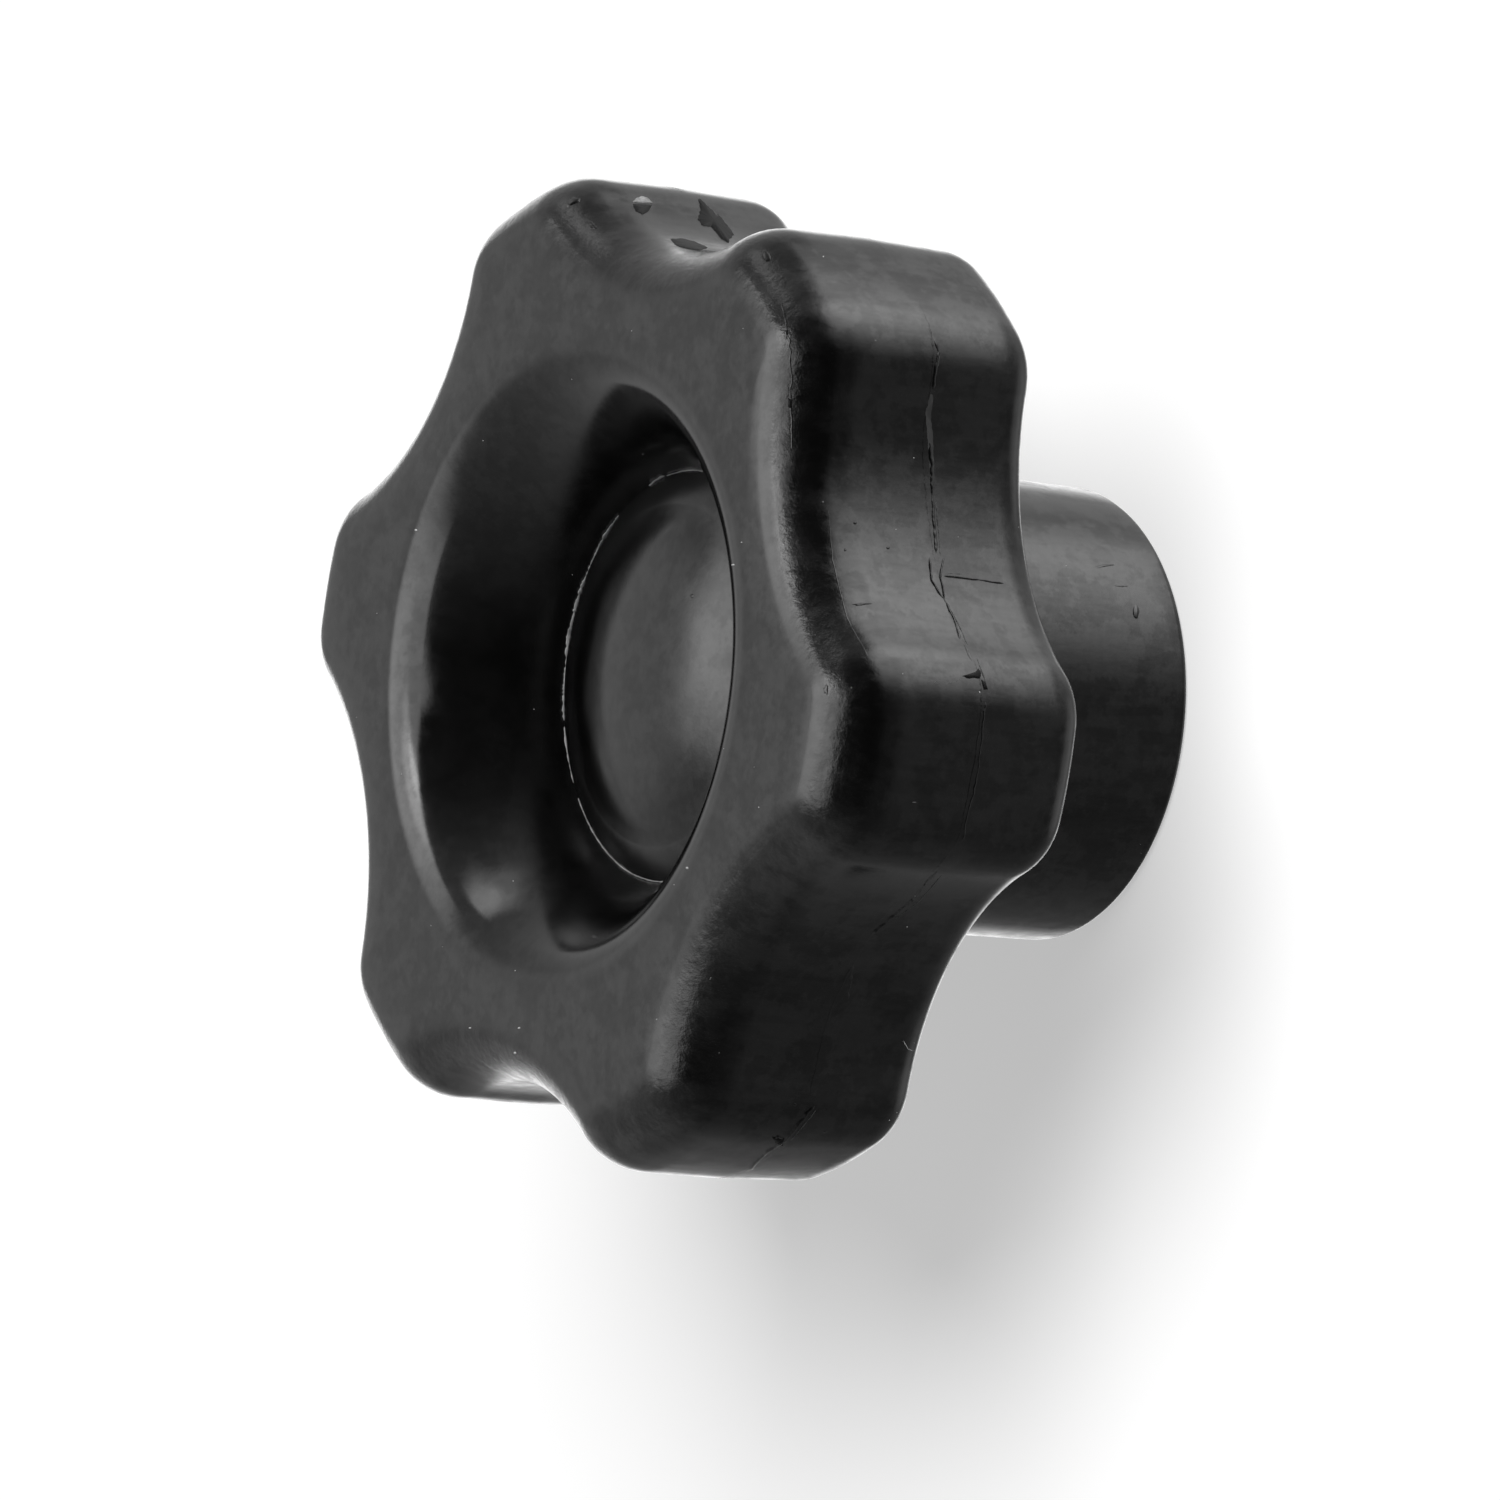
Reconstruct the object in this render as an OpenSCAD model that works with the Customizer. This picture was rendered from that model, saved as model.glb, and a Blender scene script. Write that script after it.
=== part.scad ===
// Clamping knob: a six-lobed star head with a dished recess, on a round hub that holds a
// threaded metal bush. The knob's axis is Z, its face is up, and the origin is the centre
// of the hub's end face, which is the face that bears on the work.

/* [Star head] */
// Diameter across the tips of opposite lobes
head_d = 80; // [76:1:110]
// Number of lobes
lobes = 6; // [5:1:7]
// Height of the head, from its back face to its front face
head_h = 23; // [20:0.5:32]
// How far the bottom of each valley lies inside the tips
valley_depth = 6.7; // [5:0.1:8.5]
// Radius of each valley
valley_r = 22.5; // [16:0.5:28]
// Radius of the two rounded corners of each lobe
corner_r = 6.5; // [6:0.1:8.5]
// Radius along the front edge
front_edge_r = 5.5; // [3:0.1:5.8]
// Radius along the back edge
back_edge_r = 4; // [2:0.1:5]
// Distance of the mould's parting line from the front face
parting_depth = 12; // [8:0.5:15]
// Draft of the flanks in front of the parting line, in degrees
front_draft = 0.5; // [0:0.1:1]
// Draft of the flanks behind the parting line, in degrees
back_draft = 2; // [0.5:0.1:3]
// How much the face rises from its edge to the lip of the recess
crown_h = 0.2; // [0.1:0.1:1]

/* [Recess] */
// Diameter at which the face starts to roll into the recess
lip_d = 51.2; // [46:0.2:54]
// Radius of the rolled lip
lip_r = 5.5; // [2:0.1:7]
// Radius of the recess wall, seen in section, large enough to be nearly straight
wall_r = 120; // [40:10:300]
// Diameter of the floor, at the foot of the wall
floor_d = 32.4; // [30:0.2:36]
// Depth of the floor below the lip
floor_depth = 10.8; // [8:0.2:12]
// Diameter of the domed button on the floor, across its top edge
button_d = 26.6; // [20:0.2:27]
// Height of the button's edge above the floor
button_h = 1.2; // [0.6:0.1:2]
// How much wider the button is at its foot than at its edge
button_flare = 1; // [0.4:0.1:2]
// Radius of the button's dome
dome_r = 50; // [35:1:120]

/* [Hub] */
// Height of the hub, from its end face to the back of the head
hub_h = 24; // [20:0.5:40]
// Diameter of the hub at its end face
hub_d = 36.3; // [32:0.1:44]
// Draft of the hub's side, in degrees
hub_draft = 0.7; // [0.3:0.1:1.5]
// Radius of the edge round the end face
hub_edge_r = 0.8; // [0.4:0.1:2]
// Radius of the fillet between the hub and the head
hub_root_r = 1.6; // [0.8:0.1:3]

/* [Threaded bush] */
// Outside diameter of the bush's two collars
bush_d = 20; // [18:0.5:26]
// Length of the bush, which ends flush with the hub's end face
bush_h = 22; // [16:0.5:28]
// Length of each collar
collar_h = 7; // [4:0.5:7.5]
// Depth of the groove between the collars, which locks the bush in the moulding
groove_depth = 1.5; // [0.5:0.1:2.5]
// Diameter of the tapped hole, at the crests of its thread
bore_d = 10.2; // [8:0.1:12]
// Thickness of the bush behind the blind end of the tapped hole
bush_floor = 4; // [2:0.5:5]
// Width of the chamfer at the mouth of the hole
bore_chamfer = 1; // [0.4:0.1:1.5]

/* [Hidden] */

// Smoothness of the revolved forms
$fn = 96;
// Segments along each arc of the outline and of the profiles
tip_steps = 3;
corner_steps = 7;
valley_steps = 12;
edge_steps = 7;
profile_steps = 12;
// How far a cutting tool reaches past the face that it cuts
over = 1;
// How far a form that is joined to the head reaches into it
overlap = 3;
// Least radius that the rounded edges leave on the corners of the outline
least_corner_r = 0.4;

head_r = head_d / 2;
half_pitch = 180 / lobes;
head_z = hub_h;
face_z = hub_h + head_h;
top_z = face_z + crown_h;

// The outline of the head is made of arcs that run into each other: the tip of a lobe lies
// on the overall circle, a corner rolls off it, and a valley joins the corners of two lobes.
corner_reach = head_r - corner_r;
valley_reach = head_r - valley_depth + valley_r;
join_r = valley_r + corner_r;
// Angle between a valley's centre and the centre of the corner beside it
centre_gap = acos((corner_reach ^ 2 + valley_reach ^ 2 - join_r ^ 2) / (2 * corner_reach * valley_reach));
tip_half_angle = half_pitch - centre_gap;
valley_half_angle = asin(corner_reach * sin(centre_gap) / join_r);
corner_end_angle = half_pitch + valley_half_angle;

function polar(r, angle) = r * [cos(angle), sin(angle)];

// Points along an arc, without its first point
function arc(centre, r, from, to, steps) =
    [for (i = [1:steps]) centre + polar(r, from + (to - from) * i / steps)];

// One lobe and the valley after it, set in from the full outline by inset
function lobe_points(turn, inset) = let (
    corner = polar(corner_reach, turn + tip_half_angle),
    valley = polar(valley_reach, turn + half_pitch),
    next_corner = polar(corner_reach, turn + 2 * half_pitch - tip_half_angle),
    rolled_r = max(corner_r - inset, least_corner_r)
) concat(
    arc([0, 0], head_r - inset, turn - tip_half_angle, turn + tip_half_angle, tip_steps),
    arc(corner, rolled_r, turn + tip_half_angle, turn + corner_end_angle, corner_steps),
    arc(valley, valley_r + inset, turn + 180 + corner_end_angle,
        turn + 180 + half_pitch - valley_half_angle, valley_steps),
    arc(next_corner, rolled_r, turn + half_pitch - valley_half_angle,
        turn + 2 * half_pitch - tip_half_angle, corner_steps)
);

function outline(inset) = [for (k = [0:lobes - 1]) each lobe_points(2 * half_pitch * k, inset)];

// A rounded edge is limited by the corners that it runs round
function fitted_edge(r, draft, run) =
    min(r, corner_r - least_corner_r - tan(draft) * run);

front_run = parting_depth;
back_run = head_h - parting_depth;
front_r = fitted_edge(front_edge_r, front_draft, front_run);
back_r = fitted_edge(back_edge_r, back_draft, back_run);

// Inset and height of each level of the head's skin, from the back face to the front face
back_levels = [for (i = [0:edge_steps]) let (a = 90 * i / edge_steps)
    [tan(back_draft) * (back_run - back_r) + back_r * (1 - sin(a)), head_z + back_r * (1 - cos(a))]];
front_levels = [for (i = [0:edge_steps]) let (a = 90 * i / edge_steps)
    [tan(front_draft) * (front_run - front_r) + front_r * (1 - cos(a)), face_z - front_r * (1 - sin(a))]];
levels = concat(back_levels, [[0, face_z - parting_depth]], front_levels);

// The face rises to a flat land that is a little wider than the lip
land_r = lip_d / 2 + 0.3;

module star_head() {
    rings = concat(
        [for (level = levels) [for (p = outline(level[0])) [p.x, p.y, level[1]]]],
        [[for (p = outline(levels[len(levels) - 1][0])) let (q = land_r * p / norm(p)) [q.x, q.y, top_z]]]
    );
    n = len(rings[0]);
    last = len(rings) - 1;
    sides = [for (k = [0:last - 1]) for (i = [0:n - 1]) let (
        a = k * n + i,
        b = k * n + (i + 1) % n
    ) each [[a, a + n, b], [b, a + n, b + n]]];
    bottom = [[for (i = [0:n - 1]) i]];
    top = [[for (i = [n - 1:-1:0]) last * n + i]];
    polyhedron([for (ring = rings) each ring], concat(sides, bottom, top), convexity = 6);
}

// Section of the hub: drafted side, rounded end edge, and a fillet that flares into the head
hub_r = hub_d / 2;
hub_root = hub_r + tan(hub_draft) * hub_h;
// Where the fillet's arc stops, a little before it would lie flat along the head
root_stop_angle = 95;

module hub() {
    edge = [hub_r - hub_edge_r, hub_edge_r];
    flare = [hub_root + hub_root_r, hub_h - hub_root_r];
    rotate_extrude()
        polygon(concat(
            [[0, hub_h + overlap], [0, 0], [hub_r - hub_edge_r, 0]],
            arc(edge, hub_edge_r, -90, 0, profile_steps),
            arc(flare, hub_root_r, 180, root_stop_angle, profile_steps),
            [[hub_root + hub_root_r, hub_h + overlap]]
        ));
}

// Section of the recess, as a distance from the axis and a height from the lip's plane.
// The lip's arc and the wall's arc touch, and the wall's arc ends at the foot of the wall.
lip_centre = [lip_d / 2, -lip_r];
wall_foot = [floor_d / 2, -floor_depth];
foot_gap = norm(wall_foot - lip_centre);
along = (foot_gap ^ 2 + (lip_r + wall_r) ^ 2 - wall_r ^ 2) / (2 * foot_gap);
across = sqrt((lip_r + wall_r) ^ 2 - along ^ 2);
gap_way = (wall_foot - lip_centre) / foot_gap;
wall_centre = lip_centre + along * gap_way + across * [gap_way.y, -gap_way.x];
lip_end_angle = atan2(wall_centre.y - lip_centre.y, wall_centre.x - lip_centre.x);
wall_end_angle = atan2(wall_foot.y - wall_centre.y, wall_foot.x - wall_centre.x);
button_r = button_d / 2;
button_angle = asin(button_r / dome_r);
dome_centre = [0, button_h - floor_depth - dome_r * cos(button_angle)];

module recess() {
    translate([0, 0, top_z])
        rotate_extrude()
            polygon(concat(
                [[0, over], [lip_d / 2, over], [lip_d / 2, 0]],
                arc(lip_centre, lip_r, 90, lip_end_angle, profile_steps),
                arc(wall_centre, wall_r, lip_end_angle - 180, wall_end_angle, profile_steps),
                [[button_r + button_flare, -floor_depth], [button_r, button_h - floor_depth]],
                arc(dome_centre, dome_r, 90 - button_angle, 90, profile_steps)
            ));
}

// The bush's outline, which is also the shape of its seat in the hub
module bush_form() {
    cylinder(d = bush_d, h = collar_h);
    cylinder(d = bush_d - 2 * groove_depth, h = bush_h);
    translate([0, 0, bush_h - collar_h])
        cylinder(d = bush_d, h = collar_h);
}

module knob_body() {
    color("#26262a")
        difference() {
            union() {
                star_head();
                hub();
            }
            recess();
            bush_form();
        }
}

module threaded_insert() {
    color("#b99a4e")
        difference() {
            bush_form();
            translate([0, 0, -over])
                cylinder(d = bore_d, h = bush_h - bush_floor + over);
            translate([0, 0, -over])
                cylinder(d1 = bore_d + 2 * (bore_chamfer + over), d2 = bore_d, h = bore_chamfer + over);
        }
}

knob_body();
threaded_insert();
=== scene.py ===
# Clamping knob: a black plastic star knob with a dished face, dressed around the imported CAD.
# Lengths in this script are in millimetres until make_piece() turns a mesh into metres.

import math
from collections import namedtuple

import bpy
import numpy as np
from mathutils import Matrix, Vector
from mathutils.bvhtree import BVHTree


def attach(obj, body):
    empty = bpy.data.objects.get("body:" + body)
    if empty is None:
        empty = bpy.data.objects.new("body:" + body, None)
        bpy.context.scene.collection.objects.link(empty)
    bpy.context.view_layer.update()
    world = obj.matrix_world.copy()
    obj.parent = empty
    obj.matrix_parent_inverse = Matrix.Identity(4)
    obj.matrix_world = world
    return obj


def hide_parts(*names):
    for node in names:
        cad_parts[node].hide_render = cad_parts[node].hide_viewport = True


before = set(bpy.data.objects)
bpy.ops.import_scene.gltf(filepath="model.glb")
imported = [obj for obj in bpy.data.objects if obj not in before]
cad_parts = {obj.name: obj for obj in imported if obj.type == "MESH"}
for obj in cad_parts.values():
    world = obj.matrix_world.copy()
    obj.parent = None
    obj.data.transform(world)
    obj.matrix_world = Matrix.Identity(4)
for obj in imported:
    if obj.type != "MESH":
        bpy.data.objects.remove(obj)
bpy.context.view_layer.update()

MM = 0.001

# Sizes of the knob, as in the part's source

HEAD_R = 40.0
LOBES = 6
HEAD_H = 23.0
VALLEY_DEPTH = 6.7
VALLEY_R = 22.5
CORNER_R = 6.5
BACK_EDGE_R = 4.0
PARTING_DEPTH = 12.0
FRONT_DRAFT = math.radians(0.5)
BACK_DRAFT = math.radians(2.0)
CROWN_H = 0.2
LIP_R_OUT = 25.6
FLOOR_R = 16.2
FLOOR_DEPTH = 10.8
BUTTON_R = 13.3
BUTTON_H = 1.2
HUB_H = 24.0
HUB_R = 18.15
HUB_DRAFT = math.radians(0.7)
HUB_EDGE_R = 0.8
HUB_ROOT_R = 1.6
BUSH_R = 10.0
BUSH_H = 22.0
COLLAR_H = 7.0
GROOVE_DEPTH = 1.5

# Sizes that the scene fits more closely to the picture. The front edge is a quarter of an ellipse.

FRONT_EDGE_H = 5.5
FRONT_EDGE_W = 4.7
CROWN_RUN = 8.0
LIP_R = 5.3
LIP_STOP = math.radians(50)
FLOOR_BULGE = 0.6
DOME_H = 1.8

FACE_Z = HUB_H + HEAD_H
TOP_Z = FACE_Z + CROWN_H
PARTING_Z = FACE_Z - PARTING_DEPTH
FLOOR_Z = TOP_Z - FLOOR_DEPTH
BUTTON_Z = FLOOR_Z + BUTTON_H
HALF_PITCH = math.pi / LOBES
BUSH_NECK_R = BUSH_R - GROOVE_DEPTH

# Smoothness: samples on each part of a lobe's outline

TIP_STEPS = 8
CORNER_STEPS = 14
VALLEY_STEPS = 44

# Smoothness: rings on each part of the skin

HUB_END_STEPS = 4
HUB_EDGE_STEPS = 6
HUB_SIDE_STEPS = 14
HUB_ROOT_STEPS = 6
BACK_STEPS = 8
BACK_EDGE_STEPS = 10
FLANK_STEPS = 9
FRONT_EDGE_STEPS = 16
FACE_STEPS = 9
LIP_STEPS = 14
WALL_STEPS = 14
FLOOR_STEPS = 12
BUTTON_STEPS = 14


def polar(r, angle):
    """Flat points at a distance and angle from the axis."""
    return np.stack([r * np.cos(angle), r * np.sin(angle)], axis=-1)


def head_outline():
    """Points and outward normals round the head at the parting line."""
    corner_reach = HEAD_R - CORNER_R
    valley_reach = HEAD_R - VALLEY_DEPTH + VALLEY_R
    join_r = VALLEY_R + CORNER_R
    gap = math.acos((corner_reach**2 + valley_reach**2 - join_r**2) / (2 * corner_reach * valley_reach))
    tip = HALF_PITCH - gap
    end = HALF_PITCH + math.asin(corner_reach * math.sin(gap) / join_r)
    points = []
    normals = []

    def arc(centre, r, start, stop, steps, sign):
        angle = start + (stop - start) * np.arange(steps) / steps
        points.append(np.asarray(centre) + polar(r, angle))
        normals.append(sign * polar(1.0, angle))

    for k in range(LOBES):
        turn = 2 * HALF_PITCH * k
        corner = polar(corner_reach, np.float64(turn + tip))
        valley = polar(valley_reach, np.float64(turn + HALF_PITCH))
        next_corner = polar(corner_reach, np.float64(turn + 2 * HALF_PITCH - tip))
        arc((0, 0), HEAD_R, turn - tip, turn + tip, TIP_STEPS, 1)
        arc(corner, CORNER_R, turn + tip, turn + end, CORNER_STEPS, 1)
        arc(valley, VALLEY_R, turn + math.pi + end, turn + math.pi + 2 * HALF_PITCH - end, VALLEY_STEPS, -1)
        arc(next_corner, CORNER_R, turn + 2 * HALF_PITCH - end, turn + 2 * HALF_PITCH - tip, CORNER_STEPS, 1)
    return np.concatenate(points), np.concatenate(normals)


OUT_P, OUT_N = head_outline()
ACROSS = len(OUT_P)
START_ANGLE = math.atan2(OUT_P[0][1], OUT_P[0][0])
RING_ANGLES = START_ANGLE + 2 * math.pi * np.arange(ACROSS) / ACROSS


def star_ring(inset, z):
    ring = OUT_P - OUT_N * inset
    return np.column_stack([ring, np.full(ACROSS, z)])


def round_ring(r, z, angles=RING_ANGLES):
    return np.column_stack([polar(r, angles), np.full(len(angles), z)])


def span(start, stop, steps):
    """Values after start, up to and with stop."""
    return [start + (stop - start) * (i + 1) / steps for i in range(steps)]


def smooth(t):
    return t * t * (3 - 2 * t)


def crown(inset):
    """How much the face has risen at a distance from its edge."""
    return CROWN_H * smooth(np.clip(inset / CROWN_RUN, 0, 1))


# Outside of the bush, from the hub's end face to the bush's blind end. It is also its seat.
BUSH_SECTION = (
    (BUSH_R, 0.0),
    (BUSH_R, COLLAR_H),
    (BUSH_NECK_R, COLLAR_H),
    (BUSH_NECK_R, BUSH_H - COLLAR_H),
    (BUSH_R, BUSH_H - COLLAR_H),
    (BUSH_R, BUSH_H),
)


def seat_rings():
    return [round_ring(r, z) for r, z in reversed(BUSH_SECTION)]


def hub_rings():
    """The hub's end face, its rounded edge, its drafted side and the fillet at its root."""
    end_r = HUB_R - HUB_EDGE_R
    root_r = HUB_R + math.tan(HUB_DRAFT) * HUB_H
    rings = [round_ring(r, 0.0) for r in span(BUSH_R, end_r, HUB_END_STEPS)]
    for a in span(-math.pi / 2, 0, HUB_EDGE_STEPS):
        rings.append(round_ring(end_r + HUB_EDGE_R * math.cos(a), HUB_EDGE_R * (1 + math.sin(a))))
    for z in span(HUB_EDGE_R, HUB_H - HUB_ROOT_R, HUB_SIDE_STEPS):
        rings.append(round_ring(HUB_R + math.tan(HUB_DRAFT) * z, z))
    for a in span(math.pi, math.pi / 2, HUB_ROOT_STEPS):
        r = root_r + HUB_ROOT_R * (1 + math.cos(a))
        rings.append(round_ring(r, HUB_H - HUB_ROOT_R * (1 - math.sin(a))))
    return rings


def head_rings(root):
    """The head, from the ring at the hub's root round its back edge and flanks to its front edge."""
    back_inset = math.tan(BACK_DRAFT) * (HEAD_H - PARTING_DEPTH - BACK_EDGE_R)
    front_inset = math.tan(FRONT_DRAFT) * (PARTING_DEPTH - FRONT_EDGE_H)
    back = star_ring(back_inset + BACK_EDGE_R, HUB_H)
    rings = [root + (back - root) * t for t in span(0, 1, BACK_STEPS)]
    for a in span(0, math.pi / 2, BACK_EDGE_STEPS):
        inset = back_inset + BACK_EDGE_R * (1 - math.sin(a))
        rings.append(star_ring(inset, HUB_H + BACK_EDGE_R * (1 - math.cos(a))))
    for z in span(HUB_H + BACK_EDGE_R, PARTING_Z, FLANK_STEPS):
        rings.append(star_ring(math.tan(BACK_DRAFT) * (PARTING_Z - z), z))
    for z in span(PARTING_Z, FACE_Z - FRONT_EDGE_H, FLANK_STEPS):
        rings.append(star_ring(math.tan(FRONT_DRAFT) * (z - PARTING_Z), z))
    for a in span(0, math.pi / 2, FRONT_EDGE_STEPS):
        inset = FRONT_EDGE_W * (1 - math.cos(a))
        z = FACE_Z - FRONT_EDGE_H * (1 - math.sin(a)) + crown(inset)
        rings.append(star_ring(front_inset + inset, z))
    return rings


def face_rings(edge):
    """The face, from the ring at its edge up to the flat land round the lip."""
    land = round_ring(LIP_R_OUT, TOP_Z)
    rings = []
    for t in span(0, 1, FACE_STEPS):
        ring = edge + (land - edge) * t
        run = np.linalg.norm(ring[:, :2] - edge[:, :2], axis=1)
        ring[:, 2] = FACE_Z + np.maximum(crown(FRONT_EDGE_W + run), CROWN_H * smooth(t))
        rings.append(ring)
    return rings


def recess_rings():
    """The rolled lip, the wall, the floor that rises to the button, and the button's dome."""
    rings = []
    for a in span(math.pi / 2, math.pi - LIP_STOP, LIP_STEPS):
        rings.append(round_ring(LIP_R_OUT + LIP_R * math.cos(a), TOP_Z - LIP_R * (1 - math.sin(a))))
    # The wall bulges a little: its arc leaves the lip's arc smoothly and ends at the foot
    start = np.array([LIP_R_OUT - LIP_R * math.cos(LIP_STOP), -LIP_R * (1 - math.sin(LIP_STOP))])
    drop = start - np.array([FLOOR_R, -FLOOR_DEPTH])
    bend = LIP_STOP - math.atan2(drop[0], drop[1])
    wall_r = np.linalg.norm(drop) / (2 * math.sin(bend))
    centre = start + wall_r * np.array([math.cos(LIP_STOP), -math.sin(LIP_STOP)])
    for a in span(LIP_STOP, LIP_STOP - 2 * bend, WALL_STEPS):
        rings.append(round_ring(centre[0] - wall_r * math.cos(a), TOP_Z + centre[1] + wall_r * math.sin(a)))
    for t in span(0, 1, FLOOR_STEPS):
        rise = BUTTON_H * t * (1 + FLOOR_BULGE - FLOOR_BULGE * t)
        rings.append(round_ring(FLOOR_R + (BUTTON_R - FLOOR_R) * t, FLOOR_Z + rise))
    for t in span(1, 0, BUTTON_STEPS)[:-1]:
        rings.append(round_ring(BUTTON_R * t, BUTTON_Z + DOME_H * (1 - t**3)))
    return rings


def stitch(count, across):
    """Faces between neighbouring rings of equal count, each closed round the axis."""
    faces = []
    for k in range(count - 1):
        low = k * across
        high = low + across
        for i in range(across):
            j = (i + 1) % across
            faces.append((low + i, low + j, high + j, high + i))
    return faces


def closed_skin(rings, across, first_z, last_z):
    """Points and faces of a skin of rings, closed with a fan at each end."""
    points = np.concatenate(rings)
    faces = stitch(len(rings), across)
    count = len(points)
    points = np.vstack([points, [0, 0, first_z], [0, 0, last_z]])
    faces += [(count, (i + 1) % across, i) for i in range(across)]
    last = count - across
    faces += [(count + 1, last + i, last + (i + 1) % across) for i in range(across)]
    return points, faces


def knob_skin():
    """The moulding's skin, from the middle of the bush's seat to the middle of the recess."""
    rings = seat_rings() + hub_rings()
    rings += head_rings(rings[-1])
    rings += face_rings(rings[-1])
    rings += recess_rings()
    return closed_skin(rings, ACROSS, BUSH_H, BUTTON_Z + DOME_H)


def make_piece(name, points, faces, material, replaced=None, smooth_shaded=True):
    mesh = bpy.data.meshes.new(name)
    mesh.from_pydata((np.asarray(points) * MM).tolist(), [], faces)
    mesh.polygons.foreach_set("use_smooth", [smooth_shaded] * len(mesh.polygons))
    mesh.update()
    piece = bpy.data.objects.new(name, mesh)
    bpy.context.scene.collection.objects.link(piece)
    mesh.materials.append(material)
    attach(piece, "root")
    if replaced:
        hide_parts(replaced)
    return piece


def sharpen(piece, points, corners, nearness=1e-4):
    """Keep the edges round the rings at the given radii and heights sharp."""
    flat = np.hypot(points[:, 0], points[:, 1])
    marked = np.zeros(len(points), bool)
    for r, z in corners:
        marked |= (np.abs(flat - r) < nearness) & (np.abs(points[:, 2] - z) < nearness)
    for edge in piece.data.edges:
        edge.use_edge_sharp = bool(marked[edge.vertices[0]] and marked[edge.vertices[1]])


class Graph:
    """Short names for adding and joining shader nodes. A value is a socket or a number."""

    def __init__(self, tree):
        self.tree = tree

    def add(self, kind):
        return self.tree.nodes.new(kind)

    def link(self, source, target):
        if isinstance(source, (int, float)):
            target.default_value = source
        else:
            self.tree.links.new(source, target)

    def fill(self, node, values):
        for name, value in values.items():
            self.link(value, node.inputs[name])

    def math(self, operation, *values):
        node = self.add("ShaderNodeMath")
        node.operation = operation
        for value, socket in zip(values, node.inputs):
            self.link(value, socket)
        return node.outputs[0]

    def times(self, *values):
        total = values[0]
        for value in values[1:]:
            total = self.math("MULTIPLY", total, value)
        return total

    def plus(self, *values):
        total = values[0]
        for value in values[1:]:
            total = self.math("ADD", total, value)
        return total

    def ramp(self, value, start, stop, low=0.0, high=1.0, kind="SMOOTHSTEP"):
        node = self.add("ShaderNodeMapRange")
        node.interpolation_type = kind
        self.fill(node, {"Value": value, "From Min": start, "From Max": stop, "To Min": low, "To Max": high})
        return node.outputs["Result"]

    def mix(self, factor, a, b):
        node = self.add("ShaderNodeMix")
        node.data_type = "FLOAT"
        self.fill(node, {"Factor": factor, "A": a, "B": b})
        return node.outputs["Result"]

    def noise(self, place, scale, detail, roughness):
        """Noise from about 0.3 to 0.7. The scale is in cycles for each metre."""
        node = self.add("ShaderNodeTexNoise")
        self.fill(node, {"Vector": place, "Scale": scale, "Detail": detail, "Roughness": roughness})
        return node.outputs[0]

    def length(self, vector):
        node = self.add("ShaderNodeVectorMath")
        node.operation = "LENGTH"
        self.link(vector, node.inputs[0])
        return node.outputs["Value"]

    def stretch(self, place, factors):
        node = self.add("ShaderNodeMapping")
        self.link(place, node.inputs["Vector"])
        node.inputs["Scale"].default_value = factors
        return node.outputs[0]

    def toward(self, x, y, z, azimuth, elevation):
        """Cosine of the angle between a direction and one given in degrees."""
        azimuth = math.radians(azimuth)
        elevation = math.radians(elevation)
        level = self.plus(self.times(x, math.cos(azimuth)), self.times(y, math.sin(azimuth)))
        return self.plus(self.times(level, math.cos(elevation)), self.times(z, math.sin(elevation)))

    def arc(self, value, start, stop, low=0.0, high=1.0):
        """A ramp over an angle. Its start and stop are given in degrees."""
        return self.ramp(value, math.radians(start), math.radians(stop), low, high)

    def split(self, vector):
        node = self.add("ShaderNodeSeparateXYZ")
        self.link(vector, node.inputs[0])
        return node.outputs

    def grey(self, value, target):
        """The same value in red, green and blue."""
        node = self.add("ShaderNodeCombineColor")
        self.fill(node, {"Red": value, "Green": value, "Blue": value})
        self.link(node.outputs["Color"], target)

    def relief(self, height, target):
        """Bump of a height in millimetres."""
        node = self.add("ShaderNodeBump")
        node.inputs["Distance"].default_value = MM
        self.link(height, node.inputs["Height"])
        self.link(node.outputs["Normal"], target)


def new_material(name):
    """A material with its graph, its shader and the place that its patterns follow."""
    material = bpy.data.materials.new(name)
    material.use_nodes = True
    graph = Graph(material.node_tree)
    shader = material.node_tree.nodes["Principled BSDF"]
    place = graph.add("ShaderNodeTexCoord").outputs["Object"]
    return material, graph, shader, place


# Patterns of the black plastic, and the mottle of its marks: cycles for each metre, detail and roughness

PATCHES = (330, 8, 0.7)
SPECKS = (1700, 4, 0.6)
STREAKS = (900, 4, 0.62)
RUBS = (1500, 3, 0.6)
GRAIN = (5200, 3, 0.6)
MOTTLE = (900, 4, 0.6)
STREAK_STRETCH = (1, 1, 0.14)
RUB_STRETCH = (0.25, 0.25, 1)

# Zones of the black plastic: where each starts and where it is full, as heights or distances from the axis

SIDE_ZONE = (FACE_Z - 0.1, FACE_Z - 1.2)
EDGE_ZONE = (FACE_Z - 3.4, FACE_Z - 1.2)
EDGE_TOP = (FACE_Z + 0.1, FACE_Z - 0.3)
DISH_ZONE = (LIP_R_OUT + 1, LIP_R_OUT)
DISH_BOTTOM = (HUB_H + 8, HUB_H + 10)
DULL_INSIDE = (BUTTON_R - 2.4, BUTTON_R - 0.4)
DULL_OUTSIDE = (FLOOR_R + 4.6, FLOOR_R + 1.8)

# Ranges of the patterns over which gloss, roughness and shade change

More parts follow.
